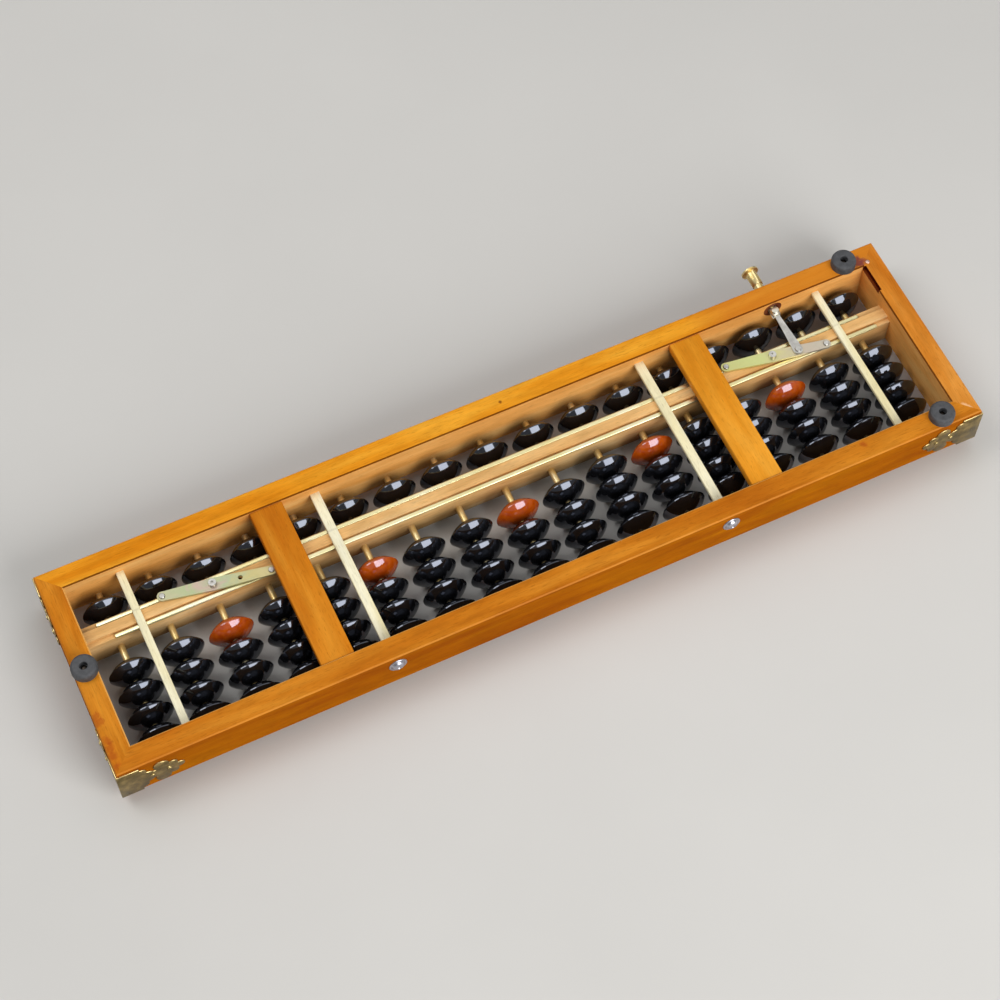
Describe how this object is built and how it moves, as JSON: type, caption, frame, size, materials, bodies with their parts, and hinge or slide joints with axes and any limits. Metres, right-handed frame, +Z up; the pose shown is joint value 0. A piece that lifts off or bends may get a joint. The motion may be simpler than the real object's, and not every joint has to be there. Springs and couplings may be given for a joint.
{
  "type": "soroban abacus",
  "caption": "Wooden desk abacus with lens beads on brass rods, a divided beam and a push button that clears the beads.",
  "frame": {"origin": "under the middle of the bounding box, on the plane that the bead rims lie on", "axes": "+X along the long rails, +Y towards the rail with the push button, +Z up towards the rubber feet: the abacus lies on its beads, as pictured, and is turned half a turn about X for use"},
  "size_m": [0.372, 0.1032, 0.0295],
  "materials": {
    "amber_wood": "amber lacquer",
    "pale_wood": "thin lacquer",
    "bamboo": "bare",
    "ivory_strip": "polished",
    "black_bead": "high gloss",
    "marker_bead": "high gloss",
    "rod_brass": "drawn",
    "pale_brass": "polished",
    "bracket_brass": "aged",
    "plated_steel": "yellow zinc plated",
    "bare_steel": "bare",
    "screw_chrome": "polished",
    "foot_rubber": "matt"
  },
  "bodies": {
    "frame": {"top_rail": "amber_wood", "bottom_rail": "amber_wood", "left_end": "amber_wood", "right_end": "amber_wood", "beam": "pale_wood", "beam_inlay": "ivory_strip", "back_crossbars": "amber_wood", "bamboo_stays": "bamboo", "bead_rods": "rod_brass", "corner_brackets": "bracket_brass", "rubber_feet": "foot_rubber", "tie_screws": "screw_chrome", "pivot_studs": "plated_steel", "button_spring": "bare_steel", "spring_retainer": "rod_brass"},
    "left_lever": {"left_lever": "plated_steel"},
    "right_lever": {"right_lever": "plated_steel"},
    "upper_clearing_rail": {"upper_clearing_rail": "pale_brass"},
    "lower_clearing_rail": {"lower_clearing_rail": "pale_brass"},
    "push_link": {"push_link": "bare_steel"},
    "clear_button": {"clear_button": "rod_brass"},
    "heaven_bead_01": {"heaven_bead_01": "black_bead"},
    "heaven_bead_02": {"heaven_bead_02": "black_bead"},
    "heaven_bead_03": {"heaven_bead_03": "black_bead"},
    "heaven_bead_04": {"heaven_bead_04": "black_bead"},
    "heaven_bead_05": {"heaven_bead_05": "black_bead"},
    "heaven_bead_06": {"heaven_bead_06": "black_bead"},
    "heaven_bead_07": {"heaven_bead_07": "black_bead"},
    "heaven_bead_08": {"heaven_bead_08": "black_bead"},
    "heaven_bead_09": {"heaven_bead_09": "black_bead"},
    "heaven_bead_10": {"heaven_bead_10": "black_bead"},
    "heaven_bead_11": {"heaven_bead_11": "black_bead"},
    "heaven_bead_12": {"heaven_bead_12": "black_bead"},
    "heaven_bead_13": {"heaven_bead_13": "black_bead"},
    "heaven_bead_14": {"heaven_bead_14": "black_bead"},
    "heaven_bead_15": {"heaven_bead_15": "black_bead"},
    "heaven_bead_16": {"heaven_bead_16": "black_bead"},
    "heaven_bead_17": {"heaven_bead_17": "black_bead"},
    "earth_column_01": {"earth_beads_01": "black_bead"},
    "earth_column_02": {"earth_beads_02": "black_bead"},
    "earth_column_03": {"earth_beads_03": "black_bead", "marker_bead_03": "marker_bead"},
    "earth_column_04": {"earth_beads_04": "black_bead"},
    "earth_column_05": {"earth_beads_05": "black_bead"},
    "earth_column_06": {"earth_beads_06": "black_bead", "marker_bead_06": "marker_bead"},
    "earth_column_07": {"earth_beads_07": "black_bead"},
    "earth_column_08": {"earth_beads_08": "black_bead"},
    "earth_column_09": {"earth_beads_09": "black_bead", "marker_bead_09": "marker_bead"},
    "earth_column_10": {"earth_beads_10": "black_bead"},
    "earth_column_11": {"earth_beads_11": "black_bead"},
    "earth_column_12": {"earth_beads_12": "black_bead", "marker_bead_12": "marker_bead"},
    "earth_column_13": {"earth_beads_13": "black_bead"},
    "earth_column_14": {"earth_beads_14": "black_bead"},
    "earth_column_15": {"earth_beads_15": "black_bead", "marker_bead_15": "marker_bead"},
    "earth_column_16": {"earth_beads_16": "black_bead"},
    "earth_column_17": {"earth_beads_17": "black_bead"}
  },
  "joints": [
    {"name": "left_lever_pivot", "type": "hinge", "parent": "frame", "child": "left_lever", "pos_m": [-0.123, 0.01121, 0.01945], "axis": [0, 0, -1], "range_deg": [0, 18.25], "stiffness_Nm_per_rad": 0.02, "springref_deg": -17.19},
    {"name": "right_lever_pivot", "type": "hinge", "parent": "frame", "child": "right_lever", "pos_m": [0.123, 0.01121, 0.01945], "axis": [0, 0, -1], "range_deg": [0, 18.25]},
    {"name": "upper_rail_rivets", "type": "hinge", "parent": "left_lever", "child": "upper_clearing_rail", "pos_m": [-0.14262, 0.01456, 0.01945], "axis": [0, 0, 1], "range_deg": [0, 18.25]},
    {"name": "lower_rail_rivets", "type": "hinge", "parent": "left_lever", "child": "lower_clearing_rail", "pos_m": [-0.10003, 0.00728, 0.01945], "axis": [0, 0, 1], "range_deg": [0, 18.25]},
    {"name": "push_link_pivot", "type": "hinge", "parent": "right_lever", "child": "push_link", "pos_m": [0.13384, 0.00935, 0.01945], "axis": [0, 0, 1], "range_deg": [0, 15.01]},
    {"name": "clear_button_slide", "type": "slide", "parent": "frame", "child": "clear_button", "axis": [0, -1, 0], "range_m": [0, 0.0033], "deforming": ["button_spring"]},
    {"name": "heaven_slide_01", "type": "slide", "parent": "frame", "child": "heaven_bead_01", "axis": [0, 1, 0], "range_m": [-0.0028, 0.00307]},
    {"name": "heaven_slide_02", "type": "slide", "parent": "frame", "child": "heaven_bead_02", "axis": [0, 1, 0], "range_m": [-0.00273, 0.00314]},
    {"name": "heaven_slide_03", "type": "slide", "parent": "frame", "child": "heaven_bead_03", "axis": [0, 1, 0], "range_m": [-0.00277, 0.0031]},
    {"name": "heaven_slide_04", "type": "slide", "parent": "frame", "child": "heaven_bead_04", "axis": [0, 1, 0], "range_m": [-0.00283, 0.00304]},
    {"name": "heaven_slide_05", "type": "slide", "parent": "frame", "child": "heaven_bead_05", "axis": [0, 1, 0], "range_m": [-0.00273, 0.00314]},
    {"name": "heaven_slide_06", "type": "slide", "parent": "frame", "child": "heaven_bead_06", "axis": [0, 1, 0], "range_m": [-0.00286, 0.00301]},
    {"name": "heaven_slide_07", "type": "slide", "parent": "frame", "child": "heaven_bead_07", "axis": [0, 1, 0], "range_m": [-0.0028, 0.00307]},
    {"name": "heaven_slide_08", "type": "slide", "parent": "frame", "child": "heaven_bead_08", "axis": [0, 1, 0], "range_m": [-0.00273, 0.00314]},
    {"name": "heaven_slide_09", "type": "slide", "parent": "frame", "child": "heaven_bead_09", "axis": [0, 1, 0], "range_m": [-0.00283, 0.00304]},
    {"name": "heaven_slide_10", "type": "slide", "parent": "frame", "child": "heaven_bead_10", "axis": [0, 1, 0], "range_m": [-0.00277, 0.0031]},
    {"name": "heaven_slide_11", "type": "slide", "parent": "frame", "child": "heaven_bead_11", "axis": [0, 1, 0], "range_m": [-0.00286, 0.00301]},
    {"name": "heaven_slide_12", "type": "slide", "parent": "frame", "child": "heaven_bead_12", "axis": [0, 1, 0], "range_m": [-0.00305, 0.00282]},
    {"name": "heaven_slide_13", "type": "slide", "parent": "frame", "child": "heaven_bead_13", "axis": [0, 1, 0], "range_m": [-0.00331, 0.00256]},
    {"name": "heaven_slide_14", "type": "slide", "parent": "frame", "child": "heaven_bead_14", "axis": [0, 1, 0], "range_m": [-0.00555, 0.00032]},
    {"name": "heaven_slide_15", "type": "slide", "parent": "frame", "child": "heaven_bead_15", "axis": [0, 1, 0], "range_m": [-0.00568, 0.00019]},
    {"name": "heaven_slide_16", "type": "slide", "parent": "frame", "child": "heaven_bead_16", "axis": [0, 1, 0], "range_m": [-0.00574, 0.00013]},
    {"name": "heaven_slide_17", "type": "slide", "parent": "frame", "child": "heaven_bead_17", "axis": [0, 1, 0], "range_m": [-0.00561, 0.00026]},
    {"name": "earth_slide_01", "type": "slide", "parent": "frame", "child": "earth_column_01", "axis": [0, -1, 0], "range_m": [-0.00742, 0.0005]},
    {"name": "earth_slide_02", "type": "slide", "parent": "frame", "child": "earth_column_02", "axis": [0, -1, 0], "range_m": [-0.00736, 0.00068]},
    {"name": "earth_slide_03", "type": "slide", "parent": "frame", "child": "earth_column_03", "axis": [0, -1, 0], "range_m": [-0.00761, 0.00031]},
    {"name": "earth_slide_04", "type": "slide", "parent": "frame", "child": "earth_column_04", "axis": [0, -1, 0], "range_m": [-0.00749, 0.00056]},
    {"name": "earth_slide_05", "type": "slide", "parent": "frame", "child": "earth_column_05", "axis": [0, -1, 0], "range_m": [-0.00761, 0.00031]},
    {"name": "earth_slide_06", "type": "slide", "parent": "frame", "child": "earth_column_06", "axis": [0, -1, 0], "range_m": [-0.00742, 0.00062]},
    {"name": "earth_slide_07", "type": "slide", "parent": "frame", "child": "earth_column_07", "axis": [0, -1, 0], "range_m": [-0.00736, 0.00056]},
    {"name": "earth_slide_08", "type": "slide", "parent": "frame", "child": "earth_column_08", "axis": [0, -1, 0], "range_m": [-0.00761, 0.00043]},
    {"name": "earth_slide_09", "type": "slide", "parent": "frame", "child": "earth_column_09", "axis": [0, -1, 0], "range_m": [-0.00755, 0.00037]},
    {"name": "earth_slide_10", "type": "slide", "parent": "frame", "child": "earth_column_10", "axis": [0, -1, 0], "range_m": [-0.00724, 0.00081]},
    {"name": "earth_slide_11", "type": "slide", "parent": "frame", "child": "earth_column_11", "axis": [0, -1, 0], "range_m": [-0.00451, 0.00533]},
    {"name": "earth_slide_12", "type": "slide", "parent": "frame", "child": "earth_column_12", "axis": [0, -1, 0], "range_m": [-0.00439, 0.00527]},
    {"name": "earth_slide_13", "type": "slide", "parent": "frame", "child": "earth_column_13", "axis": [0, -1, 0], "range_m": [-0.00457, 0.00527]},
    {"name": "earth_slide_14", "type": "slide", "parent": "frame", "child": "earth_column_14", "axis": [0, -1, 0], "range_m": [-0.00439, 0.00527]},
    {"name": "earth_slide_15", "type": "slide", "parent": "frame", "child": "earth_column_15", "axis": [0, -1, 0], "range_m": [-0.00445, 0.00539]},
    {"name": "earth_slide_16", "type": "slide", "parent": "frame", "child": "earth_column_16", "axis": [0, -1, 0], "range_m": [-0.00439, 0.00527]},
    {"name": "earth_slide_17", "type": "slide", "parent": "frame", "child": "earth_column_17", "axis": [0, -1, 0], "range_m": [-0.00445, 0.00539]}
  ],
  "couplings": [
    {"joint": "right_lever_pivot", "follows": "left_lever_pivot", "ratio": 1},
    {"joint": "upper_rail_rivets", "follows": "left_lever_pivot", "ratio": 1},
    {"joint": "lower_rail_rivets", "follows": "left_lever_pivot", "ratio": 1},
    {"joint": "push_link_pivot", "follows": "left_lever_pivot", "ratio": 0.82229},
    {"joint": "clear_button_slide", "follows": "left_lever_pivot", "m_per_rad": 0.010368}
  ]
}
